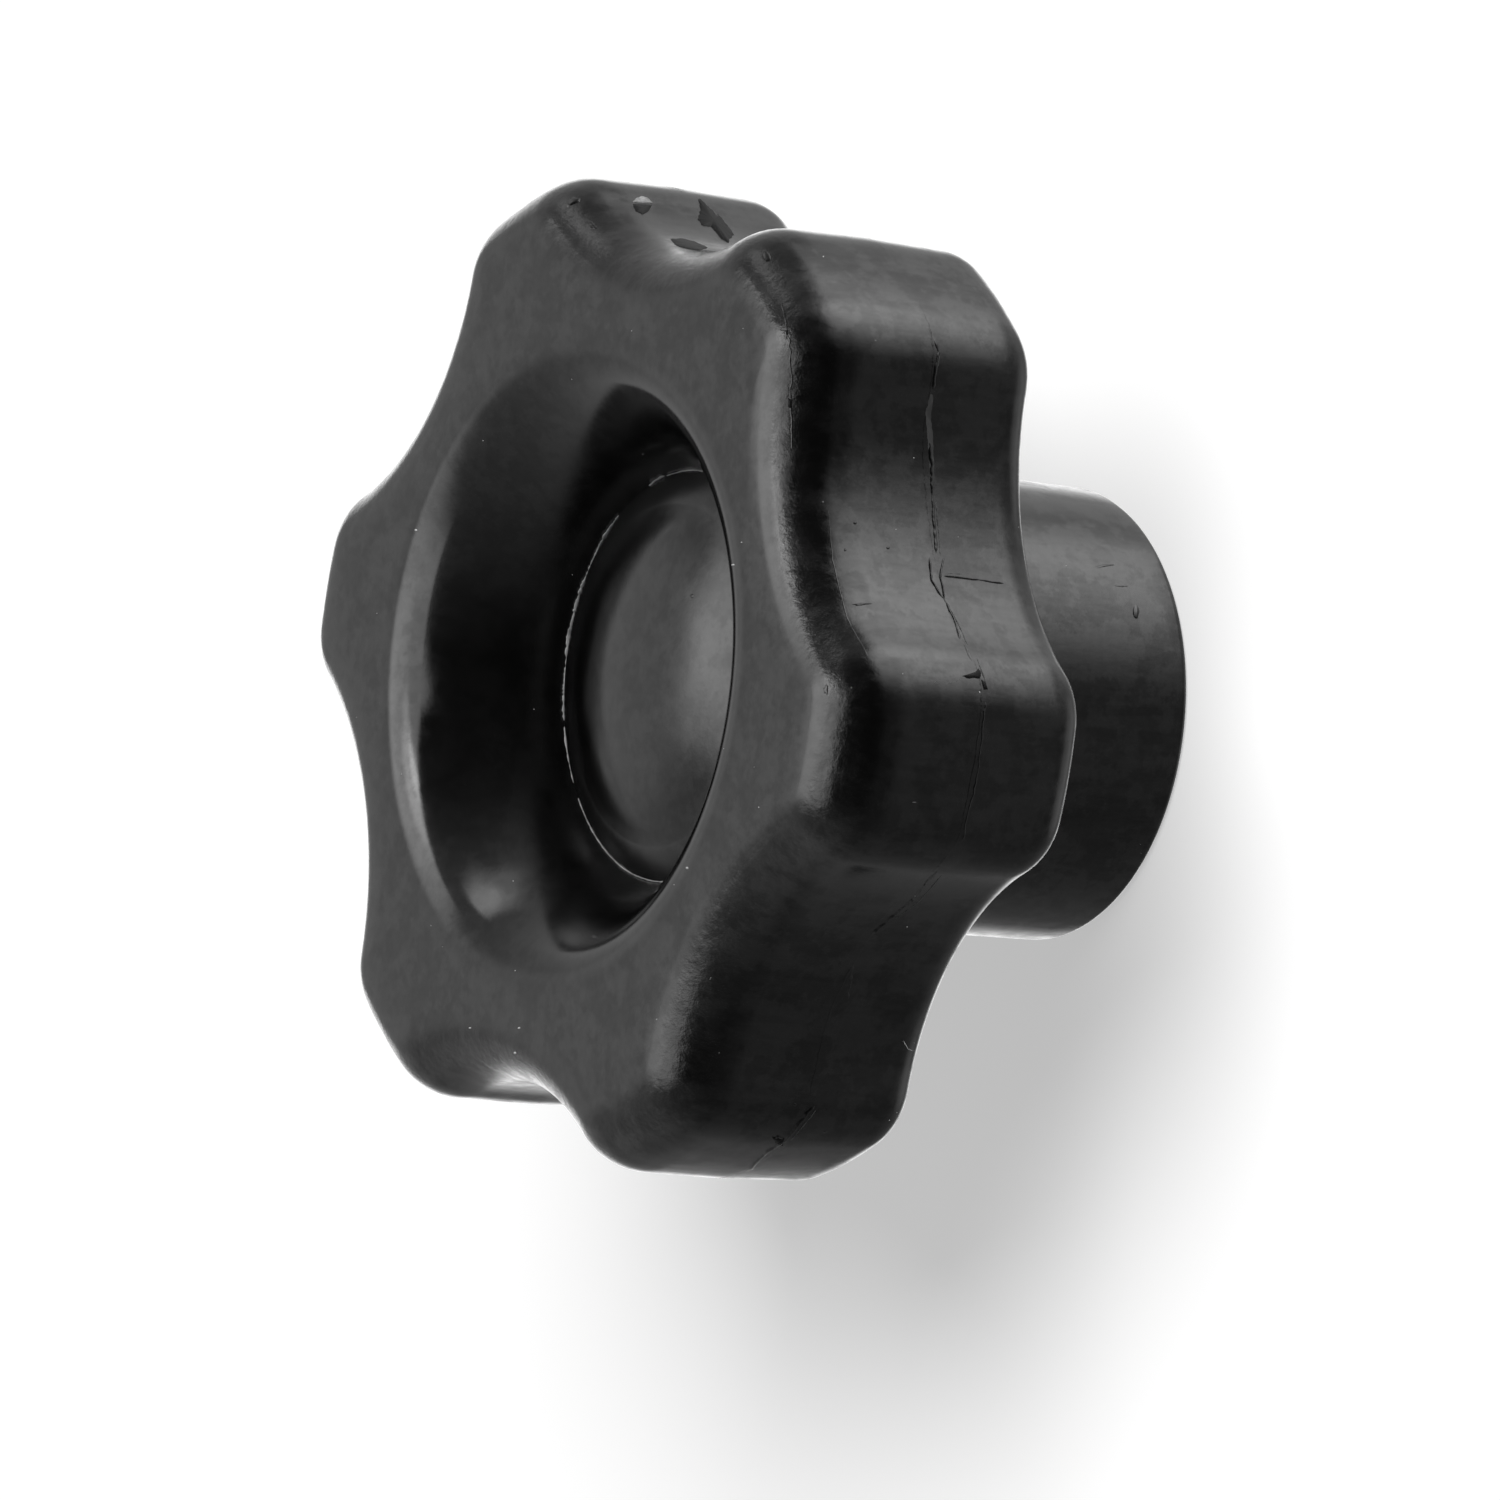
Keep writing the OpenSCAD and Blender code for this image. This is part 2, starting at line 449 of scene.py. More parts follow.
PATCH_RANGE = (0.455, 0.545)
STREAK_RANGE = (0.42, 0.58)
FINE_RANGE = (0.4, 0.6)
ROUGH_RANGE = (0.42, 0.58)
SHADE_RANGE = (0.5, 0.75)
DUST_RANGE = (0.35, 0.6)
MOTTLE_RANGE = (0.35, 0.65)

# Gloss: shares of the finer patterns in it, its plain level, and how much it varies on the face and sides

STREAK_SHARE = 0.36
FINE_SHARE = 0.16
RUB_SHARE = 0.25
PLAIN_GLOSS = 0.5
FACE_REACH = 0.14
SIDE_REACH = 0.26

# Roughness: share of the streaks in it, its least and most, its share in the recess, and the dull floor's

ROUGH_STREAKS = 0.3
LEAST_ROUGH = 0.13
FACE_ROUGH = 0.2
SIDE_ROUGH = 0.27
DISH_ROUGH_SHARE = 0.72
DULL_ROUGH = (0.21, 0.26)

# Shade: share of the streaks in it, the black's darkest and palest, its share in the recess, where the black
# is darkened as painted shade, and the dust's

SHADE_STREAKS = 0.35
BLACK = (0.0019, 0.0026)
DISH_PAINTED_SHADE_SHARE = 0.4
DUST_SHADE = (0.0004, 0.0012)

# Relief of each pattern in millimetres, on the face, the sides and the front edge

PATCH_RELIEF = (0.005, 0.015, 0.09)
SPECK_RELIEF = (0.001, 0.003, 0.036)
STREAK_RELIEF = (0.0, 0.0022)
GRAIN_RELIEF = 0.0024


def black_plastic():
    """Satin plastic with uneven gloss: patches and streaks on the sides, worn edges, a fine grain, and
    painted shade that darkens the black in the recess.
    """
    material, graph, shader, place = new_material("black_plastic")
    height = graph.times(graph.split(place)[2], 1 / MM)
    from_axis = graph.times(graph.length(graph.stretch(place, (1, 1, 0))), 1 / MM)
    in_dish = graph.times(graph.ramp(from_axis, *DISH_ZONE), graph.ramp(height, *DISH_BOTTOM))
    outside = graph.math("SUBTRACT", 1.0, in_dish)
    side = graph.times(graph.ramp(height, *SIDE_ZONE), outside)
    edge = graph.times(graph.ramp(height, *EDGE_ZONE), graph.ramp(height, *EDGE_TOP), outside)
    dull = graph.times(graph.ramp(from_axis, *DULL_INSIDE), graph.ramp(from_axis, *DULL_OUTSIDE), in_dish)

    patches = graph.noise(place, *PATCHES)
    specks = graph.noise(place, *SPECKS)
    streaks = graph.noise(graph.stretch(place, STREAK_STRETCH), *STREAKS)
    rubs = graph.noise(graph.stretch(place, RUB_STRETCH), *RUBS)
    grain = graph.noise(place, *GRAIN)

    gloss = graph.mix(STREAK_SHARE, graph.ramp(patches, *PATCH_RANGE), graph.ramp(streaks, *STREAK_RANGE))
    gloss = graph.mix(FINE_SHARE, gloss, graph.ramp(graph.mix(RUB_SHARE, specks, rubs), *FINE_RANGE))
    reach = graph.mix(side, FACE_REACH, SIDE_REACH)
    gloss = graph.plus(PLAIN_GLOSS, graph.times(graph.math("SUBTRACT", gloss, 0.5), reach))
    graph.link(gloss, shader.inputs["Specular IOR Level"])

    most = graph.mix(side, FACE_ROUGH, SIDE_ROUGH)
    rough = graph.ramp(graph.mix(ROUGH_STREAKS, patches, streaks), *ROUGH_RANGE, LEAST_ROUGH, most, "LINEAR")
    rough = graph.times(rough, graph.mix(in_dish, 1.0, DISH_ROUGH_SHARE))
    # The foot of the recess wall and the floor round the button are duller, and fine dust lies there
    dull_rough = graph.ramp(patches, *FINE_RANGE, *DULL_ROUGH, "LINEAR")
    graph.link(graph.mix(dull, rough, dull_rough), shader.inputs["Roughness"])

    shade = graph.ramp(graph.mix(SHADE_STREAKS, patches, streaks), *SHADE_RANGE, *BLACK)
    # Painted shade: the black is made darker inside the recess
    shade = graph.times(shade, graph.mix(in_dish, 1.0, DISH_PAINTED_SHADE_SHARE))
    shade = graph.plus(shade, graph.times(dull, graph.ramp(patches, *DUST_RANGE, *DUST_SHADE)))
    graph.grey(shade, shader.inputs["Base Color"])

    def by_zone(face_value, side_value, edge_value):
        return graph.mix(edge, graph.mix(side, face_value, side_value), edge_value)

    bumps = graph.plus(
        graph.times(patches, by_zone(*PATCH_RELIEF)),
        graph.times(grain, GRAIN_RELIEF),
        graph.times(specks, by_zone(*SPECK_RELIEF)),
        graph.times(streaks, graph.mix(side, *STREAK_RELIEF)),
    )
    graph.relief(bumps, shader.inputs["Normal"])
    return material


def mottled_material(name, shade, roughness):
    """A plain grey that is darker in places."""
    material, graph, shader, place = new_material(name)
    mottle = graph.noise(place, *MOTTLE)
    graph.grey(graph.ramp(mottle, *MOTTLE_RANGE, shade / 2, shade), shader.inputs["Base Color"])
    shader.inputs["Roughness"].default_value = roughness
    return material


def frayed_plastic_and_painted_highlight():
    """Torn thin flash, paler than the moulding; its pale grey is also a painted highlight along the fin and
    on the nick's lip.
    """
    return mottled_material("frayed_plastic_and_painted_highlight", 0.42, 0.4)


def scuffed_plastic():
    """Rubbed plastic, a little paler and rougher than the skin."""
    return mottled_material("scuffed_plastic", 0.05, 0.35)


def torn_plastic():
    """The dull, dark inside of a tear."""
    material = mottled_material("torn_plastic", 0.006, 0.5)
    material.node_tree.nodes["Principled BSDF"].inputs["Specular IOR Level"].default_value = 0.15
    return material


def pale_dust():
    return mottled_material("pale_dust", 0.8, 0.9)


# Brass: its colour, its least and most roughness, and its patterns

BRASS = (0.72, 0.55, 0.27, 1)
BRASS_ROUGH = (0.22, 0.42)
TOOL_MARKS = (5000, 2, 0.6)
TOOL_MARK_H = 0.01
STAINS = (300, 5, 0.6)


def turned_brass():
    """Brass with the fine rings of a lathe tool."""
    material, graph, shader, place = new_material("turned_brass")
    round_place = graph.add("ShaderNodeCombineXYZ")
    graph.fill(round_place, {"X": graph.length(place), "Z": graph.split(place)[2]})
    tool_marks = graph.noise(round_place.outputs[0], *TOOL_MARKS)
    stains = graph.noise(place, *STAINS)
    shader.inputs["Metallic"].default_value = 1.0
    shader.inputs["Base Color"].default_value = BRASS
    graph.link(graph.ramp(stains, *MOTTLE_RANGE, *BRASS_ROUGH, "LINEAR"), shader.inputs["Roughness"])
    graph.relief(graph.times(tool_marks, TOOL_MARK_H), shader.inputs["Normal"])
    return material


# Camera, at the photograph's viewing angle: the knob's axis lies across the picture. Places are in metres.

VIEW_AZIMUTH = math.radians(7.3192)
VIEW_ELEVATION = math.radians(33.5305)
VIEW_ROLL = math.radians(-84.560)
VIEW_DISTANCE = 0.89165
VIEW_TARGET = Vector((-0.00069, -0.00533, 0.028))
LENS_MM = 272.08
SENSOR_MM = 36
NEAREST_SEEN = 0.05


def direction(azimuth, elevation):
    """A vector of length one at angles in radians."""
    flat = math.cos(elevation)
    return Vector((flat * math.cos(azimuth), flat * math.sin(azimuth), math.sin(elevation)))


def make_camera():
    data = bpy.data.cameras.new("camera")
    data.lens = LENS_MM
    data.clip_start = NEAREST_SEEN
    made = bpy.data.objects.new("camera", data)
    bpy.context.scene.collection.objects.link(made)
    back = direction(VIEW_AZIMUTH, VIEW_ELEVATION)
    turn = (-back).to_track_quat("-Z", "Y").to_matrix() @ Matrix.Rotation(VIEW_ROLL, 3, "Z")
    made.matrix_world = Matrix.Translation(VIEW_TARGET + back * VIEW_DISTANCE) @ turn.to_4x4()
    bpy.context.scene.camera = made
    return made


camera = make_camera()

# The moulding

points, faces = knob_skin()
plastic = black_plastic()
knob = make_piece("knob_moulding", points, faces, plastic, "knob_body")
sharpen(knob, points, ((FLOOR_R, FLOOR_Z), (BUSH_R, 0.0)))

# The bush: its outside locks in the moulding, and its blind hole holds an M12 thread

BUSH_ACROSS = 96
MINOR_R = 5.1
THREAD_DEPTH = 0.9
PITCH = 1.75
HOLE_DEPTH = 18.0
THREAD_RUN = 16.2
MOUTH_CHAMFER = 1.0
STEPS_A_MM = 8
# A turn's profile over one pitch: its height would pass 1 at the root, and falls at this rate to the crest
TOOTH_HEIGHT = 1.25
TOOTH_SLOPE = 2.9


def bush_rings():
    """The threaded hole from its blind end to its mouth, and the bush's outside back to its blind end."""
    turn = 2 * math.pi * np.arange(BUSH_ACROSS) / BUSH_ACROSS
    rings = []
    for z in np.linspace(HOLE_DEPTH, 0, round(HOLE_DEPTH * STEPS_A_MM) + 1):
        phase = (z / PITCH - turn / (2 * math.pi)) % 1
        tooth = np.clip(TOOTH_HEIGHT - TOOTH_SLOPE * np.abs(phase - 0.5), 0, 1)
        fade = np.clip((THREAD_RUN - z) / PITCH, 0, 1)
        r = np.maximum(MINOR_R + THREAD_DEPTH * tooth * fade, MINOR_R + MOUTH_CHAMFER - z)
        rings.append(round_ring(r, z, turn))
    rings += [round_ring(r, z, turn) for r, z in BUSH_SECTION]
    return rings


bush_points, bush_faces = closed_skin(bush_rings(), BUSH_ACROSS, HOLE_DEPTH, BUSH_H)
make_piece("bush", bush_points, bush_faces, turned_brass(), "threaded_insert", False)

# Marks on the skin. They are placed by where they show in the picture, taken as 1500 across.

PICTURE = 1500
FOCAL = LENS_MM / SENSOR_MM * PICTURE
TRACE_STEP = 1.5
SEED = 41

skin = BVHTree.FromPolygons([Vector(p) for p in points], faces)
eye = camera.matrix_world.translation / MM
eye_turn = camera.matrix_world.to_3x3()
rng = np.random.default_rng(SEED)


def seen(x, y):
    """The place on the skin that shows at a place in the picture, and the way the skin faces there."""
    ray = eye_turn @ Vector(((x - PICTURE / 2) / FOCAL, (PICTURE / 2 - y) / FOCAL, -1)).normalized()
    place, normal, _, _ = skin.ray_cast(eye, ray)
    return place, normal


def trace(stops):
    """Places and normals along a line of stops in the picture."""
    places = []
    normals = []
    for (x0, y0), (x1, y1) in zip(stops, stops[1:]):
        count = max(1, round(math.hypot(x1 - x0, y1 - y0) / TRACE_STEP))
        for i in range(count):
            place, normal = seen(x0 + (x1 - x0) * i / count, y0 + (y1 - y0) * i / count)
            if place:
                places.append(place)
                normals.append(normal)
    return np.array(places), np.array(normals)


def rough_run(count, reach):
    """Random values from 0 to 1 that change over a number of steps."""
    stops = rng.random(int(count / reach) + 3)
    return np.interp(np.arange(count) / reach, np.arange(len(stops)), stops)


class Bits:
    """Small forms that are gathered into one mesh."""

    # Section of a ridge: the place across it and the share of its height, or None under the skin
    RIDGE_SECTION = ((-1.0, None), (-0.3, 1.0), (0.25, 0.85), (1.0, None))
    # Levels of a lump above its foot: shares of its size and of its height
    LUMP_LEVELS = ((0.82, 0.2), (0.6, 0.6), (0.3, 0.93))
    LUMP_TOP = 1.03
    # Steps over which a ridge's size and course change, and over which it tapers at its ends
    FINE_REACH = 1.5
    COARSE_REACH = 12
    DRIFT_REACHES = (25, 4)
    TAPER_STEPS = 4
    # How much an edge of a patch varies, as a share of its width, and how wide its slope is
    PATCH_RAG = 0.12
    PATCH_SLOPE = 0.12

    def __init__(self):
        self.points = []
        self.faces = []

    def count(self):
        return sum(len(part) for part in self.points)

    def ridge(self, places, normals, width, height, rag=0.6, wander=0.0, closed=False, sink=0.05):
        """A low ridge of flash or a raised scratch, with ragged height, width and course."""
        count = len(places)
        if closed:
            along = np.roll(places, -1, axis=0) - np.roll(places, 1, axis=0)
        else:
            along = np.gradient(places, axis=0)
        along /= np.maximum(np.linalg.norm(along, axis=1, keepdims=True), 1e-9)
        side = np.cross(normals, along)
        fine = rough_run(count, self.FINE_REACH)
        coarse = rough_run(count, self.COARSE_REACH)
        size = np.clip(1 - rag + rag * (0.9 * fine + 0.8 * coarse), 0.05, 1.6)
        tops = np.broadcast_to(height, count) * size
        half = np.broadcast_to(width, count) * (1 + size) / 4
        slow, quick = (rough_run(count, reach) for reach in self.DRIFT_REACHES)
        drift = wander * (slow + 0.5 * quick - 0.75)
        if not closed:
            ends = np.minimum(np.arange(count), np.arange(count)[::-1]) / self.TAPER_STEPS
            tops = tops * np.clip(ends, 0, 1)
            half = half * np.clip(0.3 + ends, 0, 1)
        start = self.count()
        for across, share in self.RIDGE_SECTION:
            rise = np.full(count, -sink) if share is None else tops * share - 0.3 * sink
            self.points.append(places + side * (across * half + drift)[:, None] + normals * rise[:, None])
        for k in range(len(self.RIDGE_SECTION) - 1):
            low = start + k * count
            high = low + count
            for i in range(count if closed else count - 1):
                j = (i + 1) % count
                self.faces.append((low + i, high + i, high + j, low + j))

    def lump(self, place, normal, long, short, height, steps, turn=0.0, rag=0.25, sink=0.04):
        """A small raised blob, sunk a little into the skin. Its half sizes are as the picture shows them."""
        normal = Vector(normal).normalized()
        right, up = eye_turn.col[0], eye_turn.col[1]
        east, north = up.cross(normal), normal.cross(right)
        facing = max(east.dot(right), 0.3)
        east, north = east / facing, north / facing
        c, s = math.cos(turn), math.sin(turn)
        start = self.count()
        shape = 1 - rag / 2 + rag * rng.random(steps)
        levels = [(1.0, -sink)] + [(reach, share * height) for reach, share in self.LUMP_LEVELS]
        for reach, rise in levels:
            ring = []
            for i in range(steps):
                angle = 2 * math.pi * i / steps
                u = reach * long * math.cos(angle) * shape[i]
                v = reach * short * math.sin(angle) * shape[i]
                ring.append(Vector(place) + east * (u * c - v * s) + north * (u * s + v * c) + normal * rise)
            self.points.append(np.array(ring))
        self.points.append(np.array([Vector(place) + normal * height * self.LUMP_TOP]))
        self.faces += [tuple(start + i for i in face) for face in stitch(len(levels), steps)]
        top = start + len(levels) * steps
        last = top - steps
        self.faces += [(last + i, last + (i + 1) % steps, top) for i in range(steps)]

    def patch(self, stops, lift=0.06, sink=0.04):
        """A thin ragged flake over an outline given in the picture."""
        places, normals = trace(stops + stops[:1])
        count = len(places)
        middle = places.mean(axis=0)
        out = normals.mean(axis=0)
        rag = (rng.random(count) - 0.5)[:, None] * self.PATCH_RAG
        start = self.count()
        self.points.append(places + (middle - places) * rag - normals * sink)
        self.points.append(places + (middle - places) * (self.PATCH_SLOPE + rag) + normals * lift)
        self.points.append((middle + out * lift)[None, :])
        for i in range(count):
            j = (i + 1) % count
            self.faces.append((start + i, start + j, start + count + j, start + count + i))
            self.faces.append((start + count + i, start + count + j, start + 2 * count))

    def piece(self, name, material):
        return make_piece(name, np.concatenate(self.points), self.faces, material)


def parting_line(count):
    """Places and normals round the head at the parting line, closely spaced."""
    step = np.linspace(0, 1, count, endpoint=False) * ACROSS
    low = step.astype(int)
    high = (low + 1) % ACROSS
    part = (step - low)[:, None]
    flat = OUT_P[low] * (1 - part) + OUT_P[high] * part
    out = OUT_N[low] * (1 - part) + OUT_N[high] * part
    out /= np.linalg.norm(out, axis=1, keepdims=True)
    return np.column_stack([flat, np.full(count, PARTING_Z)]), np.column_stack([out, np.zeros(count)])


# Marks that are lines: their course in the picture, and their width, height and wandering in millimetres

Line = namedtuple("Line", "course width height wander")

TORN_FLASH = {
    "valley, upper end": Line(((933, 338), (938, 352), (935, 368), (933, 392)), 0.4, 0.09, 0.2),
    "valley, middle": Line(((930, 440), (932, 465), (932, 488), (934, 512), (936, 556)), 0.4, 0.1, 0.2),
    "left side of the loop": Line(((930, 556), (932, 580), (945, 600)), 0.3, 0.13, 0.2),
    "right side of the loop": Line(((945, 556), (941, 578), (946, 602)), 0.26, 0.12, 0.2),
    "branch across": Line(((943, 576), (962, 578), (985, 581), (1006, 584)), 0.26, 0.12, 0.1),
    "below the loop": Line(((945, 600), (954, 618), (963, 642)), 0.32, 0.12, 0.3),
    "fading above the chip": Line(((963, 642), (969, 655), (975, 664)), 0.2, 0.04, 0.2),
    "lobe below the chip": Line(((985, 700), (982, 740), (975, 790), (962, 845)), 0.3, 0.06, 0.3),
    "second valley": Line(((940, 870), (915, 900), (890, 918), (868, 936)), 0.4, 0.12, 0.4),
    "second valley, lower end": Line(((852, 962), (851, 980), (848, 1002)), 0.3, 0.08, 0.3),
    "lowest lobe": Line(((815, 1105), (801, 1122), (786, 1140), (768, 1152), (746, 1173)), 0.45, 0.15, 0.4),
    "branch on the lowest lobe": Line(((786, 1140), (778, 1136), (770, 1142)), 0.3, 0.1, 0.2),
    "scratch along the flank": Line(((828, 505), (833, 560), (847, 618), (870, 660)), 0.25, 0.03, 0.1),
    "scratch along the edge": Line(((780, 300), (791, 340), (790, 400), (794, 452)), 0.3, 0.05, 0.3),
}

SCUFFS = {
    "upper end": Line(((936, 342), (940, 354), (937, 372)), 0.16, 0.06, 0.12),
    "above the loop": Line(((936, 500), (938, 530), (940, 560)), 0.16, 0.06, 0.12),
    "beside the loop": Line(((934, 582), (947, 603), (958, 622), (969, 648)), 0.14, 0.08, 0.12),
    "over the branch": Line(((944, 573), (953, 574), (966, 575)), 0.14, 0.06, 0.12),
    "second valley": Line(((944, 873), (918, 903), (893, 921)), 0.16, 0.08, 0.12),
    "lowest lobe": Line(((818, 1107), (804, 1125), (789, 1143)), 0.16, 0.08, 0.12),
    "right of the chip": Line(((976, 656), (981, 668), (988, 688)), 0.14, 0.07, 0.12),
    "left of the chip": Line(((931, 687), (936, 682), (942, 683)), 0.12, 0.07, 0.12),
    "over the chip": Line(((942, 685), (956, 681), (963, 677)), 0.1, 0.04, 0.12),
}

RUBBED_STRIP = Line(((932, 392), (929, 415), (931, 440), (933, 488)), 0.95, 0.045, 0.12)
HAIR = Line(((903, 1040), (908, 1049), (916, 1052)), 0.09, 0.1, 0.0)

# Marks that are patches: their outline in the picture

TEARS = {
    "nick in the far lobe": [(632, 204), (652, 205), (649, 211), (643, 215), (635, 211)],
    "torn chip on the far lobe": [
        (697, 196), (704, 202), (713, 211), (721, 216), (728, 226), (735, 234), (729, 243), (723, 240),
        (716, 232), (711, 227), (702, 226), (697, 219), (700, 208),
    ],
    "dent beside the chip": [
        (669, 239), (680, 238), (696, 242), (709, 248), (700, 251), (687, 249), (676, 246),
    ],
    "pit on the front edge": [(788, 398), (792, 399), (791, 409), (788, 407)],
    "chip at the lobe's corner": [
        (962, 676), (969, 674), (975, 672), (979, 668), (982, 673), (980, 679), (974, 678), (968, 679),
    ],
    "chip's tail": [(981, 679), (985, 682), (988, 690), (984, 690)],
    "nick in the lowest lobe": [(772, 1137), (784, 1138), (783, 1146), (775, 1143)],
}
PALE_CRESCENT = [(632, 202), (636, 198), (642, 196), (648, 198), (653, 203), (643, 203)]

# Marks that are lumps: their place in the picture, half sizes and height in millimetres, turn in degrees

Knock = namedtuple("Knock", "x y long short height turn rag")

KNOCKS = {
    "far corner": Knock(573, 202, 0.5, 0.35, 0.09, 30, 0.8),
    "far corner, below": Knock(590, 224, 0.7, 0.25, 0.08, -50, 0.8),
    "near corner": Knock(765, 256, 0.5, 0.3, 0.08, -60, 0.8),
    "front edge": Knock(786, 334, 0.18, 0.4, 0.06, 0, 0.8),
    "front edge, low": Knock(826, 690, 0.2, 0.45, 0.06, 0, 0.8),
    "bump on the hub": Knock(1136, 612, 0.3, 0.6, 0.09, 0, 0.2),
    "scratch on the hub": Knock(1104, 566, 0.9, 0.12, 0.04, 10, 0.8),
    "second scratch on the hub": Knock(1120, 586, 0.7, 0.1, 0.03, -5, 0.8),
    "scratch in the valley": Knock(863, 604, 0.8, 0.1, 0.05, 4, 0.6),
    "pimple in the valley": Knock(855, 523, 0.14, 0.14, 0.06, 0, 0.3),
    "second pimple": Knock(888, 548, 0.16, 0.12, 0.06, 0, 0.3),
    "pimple on the lobe": Knock(914, 803, 0.24, 0.1, 0.05, 0, 0.6),
    "pimple by the flash": Knock(795, 1105, 0.14, 0.14, 0.06, 0, 0.3),
    "pimple right of the flash": Knock(825, 1132, 0.16, 0.12, 0.06, 0, 0.3),
    "burr on the torn chip": Knock(716, 216, 0.5, 0.2, 0.1, -50, 0.9),
    "second burr": Knock(727, 232, 0.45, 0.16, 0.1, -40, 0.9),
    "pimple by the recess": Knock(692, 596, 0.2, 0.18, 0.05, 0, 0.3),
    "crumb in the recess": Knock(594, 936, 0.3, 0.15, 0.15, 0, 0.8),
    "pimple beside the valley": Knock(845, 550, 0.12, 0.12, 0.05, 0, 0.3),
}
KNOCK_STEPS = 11

# Dust: specks at their places in the picture, and how many more are strewn over which part of it

SPECK_PLACES = [(416, 530), (733, 565), (687, 868), (470, 1028), (519, 1028), (515, 1053), (693, 249)]
SPECK_SIZE = 0.13
SPECK_SHAPE = (0.6, 1)
SPECK_STEPS = 6
STREWN = 60
STREWN_X = (350, 1150)
STREWN_Y = (190, 1160)
STREWN_SIZE = (0.03, 0.06)

# Torn flash at the foot of the recess wall: its ends in degrees, width, height, raggedness and wandering

Arc = namedtuple("Arc", "start stop width height rag wander")

RING_FLASH = (
    Arc(55, 113, 0.16, 0.2, 0.3, 0.06),
    Arc(113, 122, 0.24, 0.3, 0.9, 0.2),
    Arc(137, 204, 0.17, 0.26, 1.0, 0.14),
    Arc(204, 222, 0.12, 0.12, 1.0, 0.1),
    Arc(226, 300, 0.13, 0.16, 0.5, 0.06),
    Arc(300, 412, 0.13, 0.12, 0.9, 0.06),
)
RING_FLASH_STEP = 0.35
RING_FLASH_INSET = 0.05
RING_FLASH_SINK = 0.1
# The way that the ring's flash stands: inward and up
RING_FLASH_LEAN = (-0.35, 0.94)

# The faint flash all round the parting line

FAINT_STEPS = 2400
FAINT_WIDTH = 0.34
FAINT_HEIGHT = 0.035
FAINT_WANDER = 0.25
FAINT_REACH = 90
FAINTEST = 0.25


def add_flash(flash):
    """The parting line runs round the head: faint, with torn lengths where lobes show in the picture."""
    places, normals = parting_line(FAINT_STEPS)
    strength = FAINTEST + (1 - FAINTEST) * rough_run(FAINT_STEPS, FAINT_REACH)
    height = FAINT_HEIGHT * strength
    flash.ridge(places, normals, FAINT_WIDTH, height, rag=0.7, wander=FAINT_WANDER, closed=True)
    for line in TORN_FLASH.values():
        flash.ridge(*trace(line.course), line.width, line.height, wander=line.wander)


def add_ring_flash(fin):
    """Torn flash at the foot of the recess wall, and the pale lip of a nick, both pale grey that is partly
    painted highlight.
    """
    inward, up = RING_FLASH_LEAN
    for arc in RING_FLASH:
        angle = np.radians(np.arange(arc.start, arc.stop, RING_FLASH_STEP))
        places = round_ring(FLOOR_R - RING_FLASH_INSET, FLOOR_Z, angle)
        lean = round_ring(inward, up, angle)
        fin.ridge(places, lean, arc.width, arc.height, rag=arc.rag, wander=arc.wander, sink=RING_FLASH_SINK)
    fin.patch(PALE_CRESCENT)


def add_knocks(knocks):
    """Bumps, nicks and torn bits."""
    for knock in KNOCKS.values():
        place, normal = seen(knock.x, knock.y)
        if place:
            turn = math.radians(knock.turn)
            knocks.lump(place, normal, knock.long, knock.short, knock.height, KNOCK_STEPS, turn, knock.rag)


def add_scuffs(scuffs):
    """Paler torn edges and a rubbed strip beside the flash."""
    for line in SCUFFS.values():
        scuffs.ridge(*trace(line.course), line.width, line.height, rag=1.0, wander=line.wander)
    strip = RUBBED_STRIP
    scuffs.ridge(*trace(strip.course), strip.width, strip.height, rag=0.3, wander=strip.wander)


def add_tears(tears):
    """Dark places where the skin is torn or dented."""
    for outline in TEARS.values():
        tears.patch(outline)


def add_dust(dust):
    """White specks and a short hair."""
    strewn = [(rng.uniform(*STREWN_X), rng.uniform(*STREWN_Y)) for _ in range(STREWN)]
    for k, (x, y) in enumerate(SPECK_PLACES + strewn):
        place, normal = seen(x, y)
        if place and normal.length > 0:
            size = SPECK_SIZE if k < len(SPECK_PLACES) else rng.uniform(*STREWN_SIZE)
            dust.lump(place, normal, size, size * rng.uniform(*SPECK_SHAPE), size / 2, SPECK_STEPS)
    dust.ridge(*trace(HAIR.course), HAIR.width, HAIR.height, rag=0.2)


for name, fill, material in (
    ("flash_lines", add_flash, plastic),
    # The recess flash's pale grey is partly painted highlight
    ("recess_flash", add_ring_flash, frayed_plastic_and_painted_highlight()),
    ("knocks", add_knocks, plastic),
    ("scuffs", add_scuffs, scuffed_plastic()),
    ("tears", add_tears, torn_plastic()),
    ("dust", add_dust, pale_dust()),
):
    bits = Bits()
    fill(bits)
    bits.piece(name, material)

# Studio that gloss sees, laid out in degrees, with azimuth 0 at the camera, or along x toward the camera

# A ramp's values are where it starts and stops, and its level at each where that isn't 0 and 1
UPPER_NEAR = (0.98, 0.0, 0.03, 0.43)
UPPER_FAR = (0.0, -1.0, 0.0, 0.2)
LOWER_NEAR = (1.0, 0.0, 0.11, 0.24)
LOWER_FAR = (0.0, -1.0, 0.0, 0.26)
LOWER_SIDE = (0.1, 0.7, 1.0, 1.5)
TABLE_NEAR = (0.5, 1.0, 0.2, 0.4)
TABLE_SIDE = (0.1, 0.8, 0.0, 0.7)
TABLE_BELOW = (-66, -80, 0.0, 0.35)
HORIZON = (-6, 7)
TABLE_EDGE = (-18, -42)

# Soft round patches of the studio: full inside the inner angle, and fading out to the outer one

Spot = namedtuple("Spot", "azimuth elevation outer inner level")

